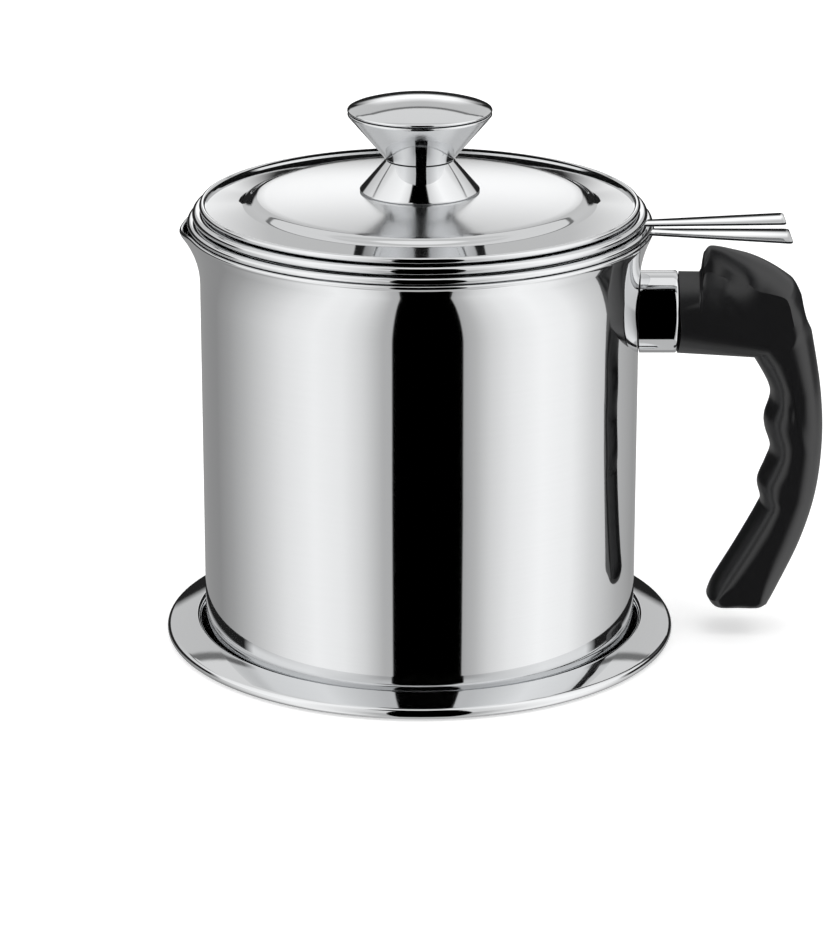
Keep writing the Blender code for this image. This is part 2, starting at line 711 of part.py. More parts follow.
def handle_grip(mat, axis):
    """The moulded grip: its outline in side view, drawn in towards both flanks as its edges round over."""
    rows = grip_outline()
    spine = [grip_place(*share) for share in SPINE_SHARES]
    ways = [towards_spine(place, spine) for place, edge in rows]
    turns = [math.radians(90 * i / GRIP_LAYERS) for i in range(GRIP_LAYERS + 1)]
    levels = [(-1, t) for t in reversed(turns)] + [(1, t) for t in turns]
    bm = bmesh.new()
    rings = []
    for side, turn in levels:
        ring = []
        for (place, edge), way in zip(rows, ways):
            drawn = min(edge, GRIP_SPINE_LIMIT * way.length) * (1 - math.cos(turn))
            at = place + way.normalized() * drawn
            y = side * (flank_width(at) - edge * (1 - math.sin(turn)))
            ring.append(bm.verts.new((at.x, y, at.y)))
        rings.append(ring)
    bridge_rings(bm, rings)
    bmesh.ops.triangulate(bm, faces=bm.faces)
    grip = add("handle_grip", bm, mat, axis)
    bore = SCREW_RADIUS + GAP
    seat = GRIP_OUTER - COUNTERBORE_DEPTH - GRIP_ROUND
    pocket = WASHER_RADIUS + GAP
    start = GRIP_START - OVERRUN
    drill = [
        (0, 0),
        (bore, 0),
        (bore, seat - start),
        (pocket, seat - start),
        (pocket, GRIP_OUTER - start + OVERRUN),
        (0, GRIP_OUTER - start + OVERRUN),
    ]
    cut(grip, cutter("screw_drill", lay_along_x(revolve(drill, FASTENER_STEPS), start, HANDLE_HEIGHT)))
    return seat


def handle_fixing(seat, mat, axis):
    """Boss on the weld plate, and the washer and screw in the grip's counterbore."""
    bore = SCREW_RADIUS + GAP
    boss_start = FERRULE_START + PLATE_THICKNESS + GAP
    boss = [(bore, 0), (NUT_RADIUS, 0), (NUT_RADIUS, NUT_HEIGHT), (bore, NUT_HEIGHT)]
    add("handle_boss", lay_along_x(revolve(boss, FASTENER_STEPS), boss_start, HANDLE_HEIGHT), mat, axis)
    washer_start = seat + GAP
    washer = lay_along_x(revolve(washer_profile(WASHER_RADIUS, 0), FASTENER_STEPS), washer_start, HANDLE_HEIGHT)
    add("handle_washer", washer, mat, axis)
    head_face = washer_start + WASHER_THICKNESS + GAP
    bm = revolve(screw_profile(head_face - boss_start), FASTENER_STEPS)
    bmesh.ops.rotate(bm, verts=bm.verts, matrix=Matrix.Rotation(math.pi, 3, "Y"))
    add("handle_screw", lay_along_x(bm, head_face, HANDLE_HEIGHT), mat, axis)


clear_scene()
STEEL_MAT = material("polished_steel", STEEL, 0.08, 1.0)
SATIN_MAT = material("satin_steel", STEEL_SATIN, 0.3, 1.0)
GRIP_MAT = material("black_phenolic", PHENOLIC, 0.35, 0.0)

tray_axis = lift_axis("tray_rest", 0)
pot_axis = lift_axis("pot_lift", POT_UNDERSIDE)
fine_axis = lift_axis("fine_strainer_lift", FINE_BEAD_Z)
coarse_axis = lift_axis("coarse_strainer_lift", COARSE_BEAD_Z)
lid_axis = lift_axis("lid_lift", LID_BEAD_Z)

base_tray(STEEL_MAT, tray_axis)
pot_body(STEEL_MAT, pot_axis)
handle_plate(SATIN_MAT, pot_axis)
handle_ferrule(STEEL_MAT, pot_axis)
screw_seat = handle_grip(GRIP_MAT, pot_axis)
handle_fixing(screw_seat, SATIN_MAT, pot_axis)
fine_strainer(STEEL_MAT, SATIN_MAT, fine_axis)
lifting_tab(
    "fine_strainer_tab",
    FINE_RIM_RADIUS + GAP,
    FINE_BEAD_Z,
    FINE_TAB_END_WIDTH,
    FINE_TAB_TILT,
    STEEL_MAT,
    fine_axis,
)
coarse_strainer(STEEL_MAT, coarse_axis)
lifting_tab(
    "coarse_strainer_tab",
    COARSE_RIM_RADIUS + GAP,
    COARSE_BEAD_Z,
    COARSE_TAB_END_WIDTH,
    COARSE_TAB_TILT,
    STEEL_MAT,
    coarse_axis,
)
lid_shell(STEEL_MAT, lid_axis)
knob(STEEL_MAT, lid_axis)
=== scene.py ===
# %% [markdown]
# # A bacon grease container, dressed over its CAD frame
# The pot is pressed and spun from stainless sheet and polished like a mirror, so most of what the eye reads is
# the room that it reflects. The lesson sets up that room first, then the finishes, and then makes each piece.
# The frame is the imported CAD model: it gives every piece its place, and nothing here moves it.

import math

import bmesh
import bpy
from mathutils import Matrix, Vector


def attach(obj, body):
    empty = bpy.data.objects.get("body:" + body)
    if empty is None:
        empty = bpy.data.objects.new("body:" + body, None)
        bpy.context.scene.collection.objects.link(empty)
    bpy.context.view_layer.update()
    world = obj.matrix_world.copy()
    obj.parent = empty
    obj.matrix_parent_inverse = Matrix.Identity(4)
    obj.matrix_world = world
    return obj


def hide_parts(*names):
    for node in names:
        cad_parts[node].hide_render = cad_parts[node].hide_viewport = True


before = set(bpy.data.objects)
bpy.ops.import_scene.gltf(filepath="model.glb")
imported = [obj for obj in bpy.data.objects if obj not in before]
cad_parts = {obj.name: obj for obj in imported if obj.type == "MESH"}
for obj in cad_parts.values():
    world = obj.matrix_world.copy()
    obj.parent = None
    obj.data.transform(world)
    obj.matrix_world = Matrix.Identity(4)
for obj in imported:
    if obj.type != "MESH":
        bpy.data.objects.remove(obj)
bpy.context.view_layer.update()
MM = 0.001

# %% [markdown]
# ## The camera
# The photograph looks down at the pot from about a metre away. Its place was found by fitting a camera to the
# ellipses of the tray, the rims and the lid, so the lens and the distance give the same perspective here.

# %% Camera
CAMERA_PLACE = Vector((-1.42, -994.45, 382.05)) * MM
CAMERA_AIM = Vector((-1.42, 0.0, 45.06)) * MM
LENS_MM = 145.7
SENSOR_MM = 36.0

camera_data = bpy.data.cameras.new("photo_camera")
camera_data.lens = LENS_MM
camera_data.sensor_width = SENSOR_MM
camera_data.sensor_fit = "AUTO"
camera_data.clip_start = 0.05
camera = bpy.data.objects.new("photo_camera", camera_data)
camera.location = CAMERA_PLACE
camera.rotation_euler = (CAMERA_AIM - CAMERA_PLACE).to_track_quat("-Z", "Y").to_euler()
bpy.context.scene.collection.objects.link(camera)
bpy.context.scene.camera = camera
bpy.context.scene.view_settings.view_transform = "Standard"
print("camera to pot:", round((CAMERA_AIM - CAMERA_PLACE).length, 3), "m")

# %% [markdown]
# ## Colours and nodes
# Colours are written as the hex values that a screen shows. Blender calculates with linear light, so one
# function turns them over. A second one adds any node, with its settings and its links, and that is all the
# help that the materials need.


# %% Colour and node helpers
def light(hex_colour):
    """An sRGB hex colour as linear red, green, blue and alpha."""
    channels = [int(hex_colour[i : i + 2], 16) / 255 for i in (1, 3, 5)]
    return (*[c / 12.92 if c <= 0.04045 else ((c + 0.055) / 1.055) ** 2.4 for c in channels], 1.0)


def node(tree, kind, settings=None, **links):
    """Adds a node, sets its properties or socket values, and links sockets by name."""
    made = tree.nodes.new(kind)
    for key, value in (settings or {}).items():
        if isinstance(key, int) or key in made.inputs:
            made.inputs[key].default_value = value
        else:
            setattr(made, key, value)
    for key, source in links.items():
        socket = int(key[1:]) if key[1:].isdigit() else key.replace("_", " ")
        tree.links.new(source, made.inputs[socket])
    return made


print("white is", [round(v, 3) for v in light("#FFFFFF")])

# %% [markdown]
# ## The studio
# A mirror has no look of its own, so the room is designed like the finish of a piece. In the photograph a tall
# black card stands where the camera is, with a large soft light on each side of it that fades away to grey
# round the back. All of that is painted on the world by direction: first the level of light round the pot, low
# down and high up, and then single cards and softboxes over it. Rays from the camera see plain white instead.

# %% World with two soft lights round the pot
# Each stop is a direction round the pot in degrees, from the camera's side, and a level of light.
LOW_LIGHT_STOPS = (
    (-180, 0.34),
    (-134, 0.32),
    (-119, 0.43),
    (-105, 0.59),
    (-89, 0.81),
    (-75, 1.01),
    (-57, 1.16),
    (-41, 1.08),
    (-30, 0.88),
    (-19, 0.56),
    (-12, 0.55),
    (20, 0.45),
    (29, 0.60),
    (37, 0.84),
    (49, 1.06),
    (67, 1.22),
    (87, 1.13),
    (103, 0.86),
    (131, 0.54),
    (155, 0.37),
    (180, 0.34),
)
HIGH_LIGHT_STOPS = (
    (-180, 0.62),
    (-140, 0.72),
    (-100, 1.1),
    (-58, 1.25),
    (-20, 0.8),
    (30, 0.85),
    (67, 1.3),
    (110, 1.1),
    (140, 0.75),
    (180, 0.62),
)


def direction_ramp(tree, stops, turn):
    """A colour ramp over the direction, with one stop for each level of light."""
    ramp = node(tree, "ShaderNodeValToRGB", Fac=turn)
    band = ramp.color_ramp
    brightest = max(level for degrees, level in stops)
    places = [(degrees + 180) / 360 for degrees, level in stops]
    for place in places[1:-1]:
        band.elements.new(place)
    for element, place, (degrees, level) in zip(band.elements, places, stops):
        element.position = place
        element.color = (*[level / brightest] * 3, 1.0)
    return node(tree, "ShaderNodeVectorMath", {"operation": "SCALE", "Scale": brightest}, _0=ramp.outputs[0])


world = bpy.data.worlds.new("studio")
world.use_nodes = True
bpy.context.scene.world = world
tree = world.node_tree
tree.nodes.clear()
direction = node(tree, "ShaderNodeTexCoord").outputs["Generated"]
parts = node(tree, "ShaderNodeSeparateXYZ", Vector=direction)
backwards = node(tree, "ShaderNodeMath", {"operation": "MULTIPLY", 1: -1.0}, _0=parts.outputs["Y"])
angle = node(tree, "ShaderNodeMath", {"operation": "ARCTAN2"}, _0=parts.outputs["X"], _1=backwards.outputs[0])
turn = node(
    tree,
    "ShaderNodeMapRange",
    {"From Min": -math.pi, "From Max": math.pi},
    Value=angle.outputs[0],
)
low = direction_ramp(tree, LOW_LIGHT_STOPS, turn.outputs[0])
high = direction_ramp(tree, HIGH_LIGHT_STOPS, turn.outputs[0])
rise = node(
    tree,
    "ShaderNodeMapRange",
    {"From Min": -0.02, "From Max": 0.10},
    Value=parts.outputs["Z"],
)
side = node(tree, "ShaderNodeMix", {"data_type": "VECTOR"}, _0=rise.outputs[0], _4=low.outputs[0], _5=high.outputs[0])
print("world stops:", len(LOW_LIGHT_STOPS) + len(HIGH_LIGHT_STOPS))

# %% [markdown]
# ## Cards and softboxes in the room
# A card or a softbox is a window of directions with soft or hard edges. Its place is given in degrees round the
# pot from the camera's side, and in degrees above the horizon. Three of them make the look: the black card at
# the camera, whose hard left edge draws the sharp line down the pot, a softbox high at the back that lights the
# dome, and darkness low at the back, which draws the black crescent round the lid's far shoulder.


# %% Cards and softboxes
flat = node(tree, "ShaderNodeCombineXYZ", X=parts.outputs["X"], Y=parts.outputs["Y"])
heading = node(tree, "ShaderNodeVectorMath", {"operation": "NORMALIZE"}, _0=flat.outputs[0])


def window(value, outside, inside):
    """Nothing at one value and all at the other."""
    return node(tree, "ShaderNodeMapRange", {"From Min": outside, "From Max": inside}, Value=value).outputs[0]


def card(under, level, across=None, bottom=None, top=None):
    """Lays a window of one level of light over the room. Edges are in degrees, each with its softness."""
    edges = []
    if across:
        middle, half_width, soft = (math.radians(v) for v in across)
        facing = {"operation": "DOT_PRODUCT", 1: (math.sin(middle), -math.cos(middle), 0)}
        near = node(tree, "ShaderNodeVectorMath", facing, _0=heading.outputs[0]).outputs["Value"]
        edges.append(window(near, math.cos(half_width + soft), math.cos(half_width)))
    for edge, way in ((bottom, -1), (top, 1)):
        if edge:
            at, soft = (math.radians(v) for v in edge)
            edges.append(window(parts.outputs["Z"], math.sin(at + way * soft), math.sin(at)))
    mask = edges[0]
    for edge in edges[1:]:
        mask = node(tree, "ShaderNodeMath", {"operation": "MULTIPLY"}, _0=mask, _1=edge).outputs[0]
    return node(tree, "ShaderNodeMix", {"data_type": "VECTOR", 5: (level,) * 3}, _0=mask, _4=under).outputs[1]


room = side.outputs[1]
room = card(room, 1.05, bottom=(73, 3))
room = card(room, 0.6, top=(-66, 4))
room = card(room, 0.02, across=(180, 75, 8), bottom=(-11, 2), top=(11, 3))
room = card(room, 1.35, across=(180, 4, 4), bottom=(10, 5), top=(15, 8))
room = card(room, 0.85, across=(180, 60, 14), bottom=(33, 1), top=(56, 3))
room = card(room, 0.2, across=(180, 60, 14), bottom=(30.5, 1), top=(32, 1))
room = card(room, 0.0, across=(4.1, 18.2, 0.4), bottom=(-64, 1), top=(70, 3))
room = card(room, 0.0, across=(-2, 27, 4), bottom=(55, 4), top=(73, 2))

# %% World's output
studio = node(tree, "ShaderNodeBackground", Color=room)
plain_white = node(tree, "ShaderNodeBackground", {"Color": light("#FFFFFF"), "Strength": 1.0})
rays = node(tree, "ShaderNodeLightPath")
seen = node(
    tree,
    "ShaderNodeMath",
    {"operation": "MAXIMUM"},
    _0=rays.outputs["Is Camera Ray"],
    _1=rays.outputs["Is Transmission Ray"],
)
mixed = node(tree, "ShaderNodeMixShader", _0=seen.outputs[0], _1=studio.outputs[0], _2=plain_white.outputs[0])
node(tree, "ShaderNodeOutputWorld", Surface=mixed.outputs[0])
print("world nodes:", len(tree.nodes))

# %% [markdown]
# ## Floor and board
# The floor is a pale sheet that takes the pot's shadow. The photograph's ground is blown out to white, so
# rays from the camera get a little light of the floor's own on top, and the shadow stays. Mirror rays pass
# through it, because the polished wall shows the two lights right down to the tray. A small dark board close
# behind the pot, just below the lid's height, darkens the far side of the dome and stays out of the knob's. A
# flag, a sickle of black card held just over the lid's far rim, keeps the flange there black.


# %% Floor and low dark board
def staged(name, size, place, tilt=0.0):
    """A square sheet for the studio, which is not attached to any body of the object."""
    bm = bmesh.new()
    bmesh.ops.create_grid(bm, x_segments=1, y_segments=1, size=0.5)
    bmesh.ops.scale(bm, vec=(size[0], size[1], 1), verts=bm.verts)
    turn_up = Matrix.Translation(place) @ Matrix.Rotation(tilt, 4, "X")
    bmesh.ops.transform(bm, matrix=turn_up, verts=bm.verts)
    mesh = bpy.data.meshes.new(name)
    bm.to_mesh(mesh)
    bm.free()
    sheet = bpy.data.objects.new(name, mesh)
    bpy.context.scene.collection.objects.link(sheet)
    return sheet


def floor_paper():
    """White background paper, matt, with a lift of light for the camera alone."""
    made = bpy.data.materials.new("white_paper_floor")
    made.use_nodes = True
    tree = made.node_tree
    tree.nodes.clear()
    spot = node(tree, "ShaderNodeTexCoord").outputs["Object"]
    fibres = node(tree, "ShaderNodeTexNoise", {"Scale": 900.0, "Detail": 2.0}, Vector=spot)
    paper = node(
        tree,
        "ShaderNodeMapRange",
        {"To Min": 0.86, "To Max": 0.9},
        Value=fibres.outputs[0],
    )
    matt = node(tree, "ShaderNodeBsdfDiffuse", Color=paper.outputs[0])
    lift = node(tree, "ShaderNodeEmission", {"Strength": 0.42})
    rays = node(tree, "ShaderNodeLightPath")
    own = node(tree, "ShaderNodeMixShader", _0=rays.outputs["Is Camera Ray"], _2=lift.outputs[0])
    both = node(tree, "ShaderNodeAddShader", _0=matt.outputs[0], _1=own.outputs[0])
    node(tree, "ShaderNodeOutputMaterial", Surface=both.outputs[0])
    return made


def dark_card():
    """Black card with a faint tooth, for the board behind the pot."""
    made = bpy.data.materials.new("black_card_board")
    made.use_nodes = True
    tree = made.node_tree
    shader = tree.nodes["Principled BSDF"]
    spot = node(tree, "ShaderNodeTexCoord").outputs["Object"]
    tooth = node(tree, "ShaderNodeTexNoise", {"Scale": 600.0}, Vector=spot)
    shade = node(tree, "ShaderNodeMapRange", {"To Min": 0.004, "To Max": 0.008}, Value=tooth.outputs[0])
    tree.links.new(shade.outputs[0], shader.inputs["Base Color"])
    shader.inputs["Roughness"].default_value = 0.9
    return made


floor = staged("studio_floor", (9.0, 9.0), (0, 0, -0.0002))
floor.data.materials.append(floor_paper())
floor.visible_glossy = False
board = staged("low_board", (0.13, 0.09), (0, 0.115, 0.0765), math.pi / 2)
board.data.materials.append(dark_card())
flag = staged("rim_flag", (1, 1), (0, 0, 0.1246))
sickle = bmesh.new()
pairs = []
for degrees in range(0, 181, 6):
    aim = Vector((math.cos(math.radians(degrees)), math.sin(math.radians(degrees)), 0))
    outer = Vector((0, 0.012, 0)) + aim * 0.050
    pairs.append((sickle.verts.new(aim * 0.047), sickle.verts.new(outer)))
for (a, b), (c, d) in zip(pairs, pairs[1:]):
    sickle.faces.new((a, b, d, c))
bmesh.ops.translate(sickle, vec=(0, 0, 0.1246), verts=sickle.verts)
sickle.to_mesh(flag.data)
sickle.free()
flag.data.materials.append(dark_card())
for hidden in (board, flag):
    hidden.visible_camera = False
    hidden.visible_diffuse = False
    hidden.visible_shadow = False

# %% [markdown]
# ## Lamps
# One broad lamp overhead gives the pot its soft shadow. It stays out of mirror reflections, which already have their
# lights.


# %% One soft lamp
def soft_lamp(name, place, aim, size, watts):
    """A square area lamp that mirrors don't show."""
    data = bpy.data.lights.new(name, "AREA")
    data.size = size
    data.energy = watts
    lamp = bpy.data.objects.new(name, data)
    lamp.location = place
    lamp.rotation_euler = (Vector(aim) - Vector(place)).to_track_quat("-Z", "Y").to_euler()
    bpy.context.scene.collection.objects.link(lamp)
    lamp.visible_glossy = False
    lamp.visible_camera = False
    return lamp


soft_lamp("overhead_softbox", (0.1, -0.15, 1.3), (0, 0, 0.05), 1.0, 4.0)
print("lamps are set")

# %% [markdown]
# ## Mirror-polished stainless steel
# The pot, tray, rims, lid and knob are pressed from stainless sheet and buffed on a cloth wheel. The buffing
# leaves hair-fine lines that run round the axis, and the pressing leaves a slight unevenness, so reflections
# are sharp but their edges waver a little. Both are made as height, and the roughness varies by a trace.


# %% Polished and satin steel
STAINLESS_HEX = "#DFE0E1"
BUFF_LINE_MM = 0.35  # real buffing lines are near 0.02 mm, too fine to show, so they are drawn coarser


def round_the_axis(tree, along_axis):
    """Object coordinates as a point that changes fast across the buffing lines and slowly along them."""
    spot = node(tree, "ShaderNodeTexCoord").outputs["Object"]
    parts = node(tree, "ShaderNodeSeparateXYZ", Vector=spot)
    flat = node(tree, "ShaderNodeCombineXYZ", X=parts.outputs["X"], Y=parts.outputs["Y"])
    reach = node(tree, "ShaderNodeVectorMath", {"operation": "LENGTH"}, _0=flat.outputs[0])
    heading = node(tree, "ShaderNodeVectorMath", {"operation": "NORMALIZE"}, _0=flat.outputs[0])
    around = node(tree, "ShaderNodeVectorMath", {"operation": "SCALE", "Scale": along_axis}, _0=heading.outputs[0])
    across = node(tree, "ShaderNodeCombineXYZ", X=reach.outputs["Value"], Z=parts.outputs["Z"])
    step = 1 / (BUFF_LINE_MM * MM)
    fast = node(tree, "ShaderNodeVectorMath", {"operation": "SCALE", "Scale": step}, _0=across.outputs[0])
    return node(tree, "ShaderNodeVectorMath", {"operation": "ADD"}, _0=fast.outputs[0], _1=around.outputs[0]), spot


def steel(name, hex_colour, roughness, spread, line_depth, wave_depth, wave_mm=22.0):
    """Stainless steel whose finish lines run round the axis, over a slight unevenness of the sheet."""
    made = bpy.data.materials.new(name)
    made.use_nodes = True
    tree = made.node_tree
    shader = tree.nodes["Principled BSDF"]
    shader.inputs["Metallic"].default_value = 1.0
    lines_at, spot = round_the_axis(tree, 3.0)
    lines = node(tree, "ShaderNodeTexNoise", {"Scale": 1.0, "Detail": 3.0}, Vector=lines_at.outputs[0])
    waves = node(tree, "ShaderNodeTexNoise", {"Scale": 1 / (wave_mm * MM), "Detail": 1.0}, Vector=spot)
    tone = node(tree, "ShaderNodeMapRange", {"To Min": 0.97, "To Max": 1.0}, Value=lines.outputs[0])
    colour = node(
        tree,
        "ShaderNodeMix",
        {"data_type": "RGBA", "blend_type": "MULTIPLY", 0: 1.0, 6: light(hex_colour)},
        _7=tone.outputs[0],
    )
    tree.links.new(colour.outputs[2], shader.inputs["Base Color"])
    rough = node(
        tree,
        "ShaderNodeMapRange",
        {"To Min": roughness - spread, "To Max": roughness + spread},
        Value=lines.outputs[0],
    )
    tree.links.new(rough.outputs[0], shader.inputs["Roughness"])
    wave_bump = node(
        tree, "ShaderNodeBump", {"Strength": 1.0, "Distance": wave_depth * MM}, Height=waves.outputs[0]
    )
    line_bump = node(
        tree,
        "ShaderNodeBump",
        {"Strength": 1.0, "Distance": line_depth * MM},
        Height=lines.outputs[0],
        Normal=wave_bump.outputs[0],
    )
    tree.links.new(line_bump.outputs[0], shader.inputs["Normal"])
    return made


MIRROR_STEEL = steel("mirror_polished_stainless", STAINLESS_HEX, 0.045, 0.012, 0.00004, 0.006)
DOME_STEEL = steel("soft_buffed_stainless", STAINLESS_HEX, 0.17, 0.02, 0.0001, 0.006)
KNOB_STEEL = steel("spun_polished_stainless", STAINLESS_HEX, 0.05, 0.015, 0.00008, 0.004, 9.0)
SATIN_STEEL = steel("satin_drawn_stainless", "#C9CACB", 0.27, 0.05, 0.0012, 0.02)
TURNED_STEEL = steel("turned_zinc_plated_steel", "#BFC1C4", 0.3, 0.06, 0.0009, 0.004, 3.0)
WIRE_STEEL = steel("woven_stainless_wire", "#B4B6B8", 0.33, 0.05, 0.0006, 0.002, 2.0)
# The cut edge's near-black colour is painted shade; only its higher roughness is the real finish of a sheared edge.
SHEARED_EDGE_PAINTED_SHADE = steel("sheared_edge_painted_shade", "#2E2F31", 0.5, 0.06, 0.001, 0.004, 3.0)
print("steels:", [m.name for m in (MIRROR_STEEL, KNOB_STEEL, SATIN_STEEL, TURNED_STEEL, WIRE_STEEL)])

# %% [markdown]
# ## Black phenolic
# The grip is compression moulded from phenolic resin with a wood-flour filler. It comes out of a polished mould
# nearly glossy, with a fine grain that softens the highlight and a few paler flecks of filler. Its index of
# refraction is about 1.6.

# %% Moulded phenolic
PHENOLIC_HEX = "#121214"
FLECK_HEX = "#1D1D20"
GRAIN_MM = 0.6
FLECK_MM = 1.6


def phenolic():
    """Black phenolic with a moulded grain and sparse flecks."""
    made = bpy.data.materials.new("black_moulded_phenolic")
    made.use_nodes = True
    tree = made.node_tree
    shader = tree.nodes["Principled BSDF"]
    shader.inputs["IOR"].default_value = 1.6
    spot = node(tree, "ShaderNodeTexCoord").outputs["Object"]
    grain = node(tree, "ShaderNodeTexNoise", {"Scale": 1 / (GRAIN_MM * MM), "Detail": 3.0}, Vector=spot)
    flecks = node(tree, "ShaderNodeTexVoronoi", {"Scale": 1 / (FLECK_MM * MM)}, Vector=spot)
    where = node(
        tree,
        "ShaderNodeMapRange",
        {"From Min": 0.12, "From Max": 0.05},
        Value=flecks.outputs["Distance"],
    )
    colour = node(
        tree,
        "ShaderNodeMix",
        {"data_type": "RGBA", 6: light(PHENOLIC_HEX), 7: light(FLECK_HEX)},
        _0=where.outputs[0],
    )
    tree.links.new(colour.outputs[2], shader.inputs["Base Color"])
    rough = node(tree, "ShaderNodeMapRange", {"To Min": 0.28, "To Max": 0.38}, Value=grain.outputs[0])
    tree.links.new(rough.outputs[0], shader.inputs["Roughness"])
    bump = node(tree, "ShaderNodeBump", {"Strength": 0.6, "Distance": 0.004 * MM}, Height=grain.outputs[0])
    tree.links.new(bump.outputs[0], shader.inputs["Normal"])
    return made


GRIP_PHENOLIC = phenolic()
print("grip material:", GRIP_PHENOLIC.name)

# %% [markdown]
# ## Turning a profile on the lathe
# Nearly every steel piece is round. Each is drawn as half a section with a pen that goes straight or round a
# centre, which the extrude and spin operators do, and the section is then spun a full turn. Lengths are the
# real ones in millimetres, from the pot's axis and from the table. Big arcs, such as the lid's dome, get a
# point every two millimetres, because a mirror shows every facet.

# %% Pen and lathe
ARC_STEP_DEGREES = 12
ARC_STEP_MM = 2.0
LATHE_STEPS = 144


def pen(bm, start, moves, plane="XZ"):
    """Draws from start: a pair goes straight there, a triple goes round that centre by so many degrees."""

    def at(a, b):
        return Vector((a, 0, b) if plane == "XZ" else (0, a, b)) * MM

    axis = (0, -1, 0) if plane == "XZ" else (1, 0, 0)
    first = here = bm.verts.new(at(*start))
    for move in moves:
        if len(move) == 2:
            here = bmesh.ops.extrude_vert_indiv(bm, verts=[here])["verts"][0]
            here.co = at(*move)
            continue
        centre, sweep = at(*move[:2]), math.radians(move[2])
        by_length = abs(sweep) * (here.co - centre).length / (ARC_STEP_MM * MM)
        steps = max(2, round(abs(move[2]) / ARC_STEP_DEGREES), round(by_length))
        drawn = bmesh.ops.spin(bm, geom=[here], cent=centre, axis=axis, angle=sweep, steps=steps)
        here = [v for v in drawn["geom_last"] if isinstance(v, bmesh.types.BMVert)][0]
    return first, here


def turned(start, moves, steps=LATHE_STEPS):
    """Half a section spun a full turn round the pot's axis. A section off the axis is closed first."""
    bm = bmesh.new()
    first, last = pen(bm, start, moves)
    if first.co.x > MM / 100:
        bm.edges.new((last, first))
    bmesh.ops.spin(
        bm,
        geom=bm.verts[:] + bm.edges[:],
        cent=(0, 0, 0),
        axis=(0, 0, 1),
        angle=math.tau,
        steps=steps,
        use_merge=True,
    )
    bmesh.ops.remove_doubles(bm, verts=bm.verts, dist=0.0005 * MM)
    bmesh.ops.recalc_face_normals(bm, faces=bm.faces)
    return bm


def finished(name, bm, finish, body, *nodes, slot="polished_steel", sharp=40, zones=()):
    """Makes the piece from its mesh, gives it its finish, hands it to its body, and hides the CAD nodes that it
    replaces.
    """
    mesh = bpy.data.meshes.new(name)
    bm.to_mesh(mesh)
    bm.free()
    mesh.shade_smooth()
    mesh.set_sharp_from_angle(angle=math.radians(sharp))
    mesh.materials.append(finish)
    for number, (zone_finish, belongs) in enumerate(zones, start=1):
        mesh.materials.append(zone_finish)
        for face in mesh.polygons:
            if belongs(face.center / MM, face.normal):
                face.material_index = number
    piece = bpy.data.objects.new(name, mesh)
    bpy.context.scene.collection.objects.link(piece)
    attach(piece, body)
    if nodes:
        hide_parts(*nodes)
    print(name, len(mesh.polygons), "faces")
    return piece


# %% [markdown]
# ## The tray
# A shallow saucer of 0.6 mm sheet. A raised ring presses up round the foot of the pot, the brim falls away
# from it at 13 degrees, and the edge is rolled under into a bead. Both faces of the sheet are drawn round the
# same centres, 0.6 mm apart, so the sheet keeps its thickness through every bend.

# %% Tray
tray = turned(
    (0, 0.6),
    [
        (57.0, 0.6),
        (57.0, 3.4, 62),
        (60.563, 4.138),
        (61.667, 3.551, -75),
        (68.80, 3.16),
        (68.45, 1.65, -244),
        (66.94, 3.0),
        (61.813, 4.184),
        (61.667, 3.551, 75),
        (60.0, 1.804),
        (57.0, 3.4, -62),
        (0, 0),
    ],
)
finished("drawn_tray", tray, MIRROR_STEEL, "tray", "base_tray")

# %% [markdown]
# ## The pot
# A deep drawn cup: flat floor, a foot of 3.5 mm radius, a straight wall and then a mouth that swings out and up
# again before its edge is rolled. The inside keeps the satin of the drawing press, and only the outside is
# buffed, so the inner faces get their own finish.

# %% Pot with its flared mouth and rolled rim
MOUTH_START_MM = 100.0
MOUTH_HEIGHT_MM = 14.3
pot = turned(
    (0, 0.9),
    [
        (55.8, 0.9),
        (55.8, 4.4, 90),
        (59.3, 55.0),
        (59.3, MOUTH_START_MM),
        (91.94, MOUTH_START_MM, -25.98),
        (62.774, 114.826),
        (62.35, 115.25, 300),
        (62.06, 114.56),
        (91.94, MOUTH_START_MM, 25.98),
        (58.7, 55.0),
        (58.7, 4.4),
        (55.8, 4.4, -90),
        (0, 1.5),
    ],
    steps=192,
)

# %% [markdown]
# ## The spout
# A press pinches the rim out and a little down on the side away from the handle. Each point of the mouth near
# that side moves by a share that fades out to both sides and down the flare, so the sheet stays smooth.

# %% Press the spout
SPOUT_OUT_MM = 1.7
SPOUT_DOWN_MM = 1.3
SPOUT_HALF_TURN = math.radians(17)
for corner in pot.verts:
    place = corner.co / MM
    depth = (place.z - MOUTH_START_MM) / MOUTH_HEIGHT_MM
    away = abs(math.atan2(place.y, -place.x)) / SPOUT_HALF_TURN
    if depth > 0 and away < 1:
        share = min(depth, 1) ** 2 * math.cos(away * math.pi / 2) ** 2
        outwards = Vector((place.x, place.y, 0)).normalized() * SPOUT_OUT_MM
        corner.co += (outwards + Vector((0, 0, -SPOUT_DOWN_MM))) * share * MM


def inside_pot(at, facing):
    """True on the inner wall and floor."""
    return at.z > 1.2 and (at.z < 1.7 and facing.z > 0.5 or at.xy.length < 58.9 and at.z < 106)


finished(
    "flared_pot", pot, MIRROR_STEEL, "pot", "pot_body", zones=[(SATIN_STEEL, inside_pot)]
)

# %% [markdown]
# ## The strainers
# Both are shallow cups with a slightly tapering wall and an edge rolled under, so that each hangs by its rim on
# the one below. The fine one has an open floor with woven wire clamped under a ring. The coarse one has a
# punched floor.

# %% Fine strainer's cup
fine_cup = turned(
    (50.0, 84.75),
    [
        (55.6, 84.75),
        (55.6, 86.35, 90),
        (57.9, 116.45),
        (58.7, 116.45, -90),
        (60.714, 117.25),
        (61.55, 116.8, 298.3),
        (58.7, 117.75),
        (58.7, 116.45, 90),
        (56.7, 86.35),
        (55.6, 86.35, -90),
        (50.0, 85.25),
    ],
)


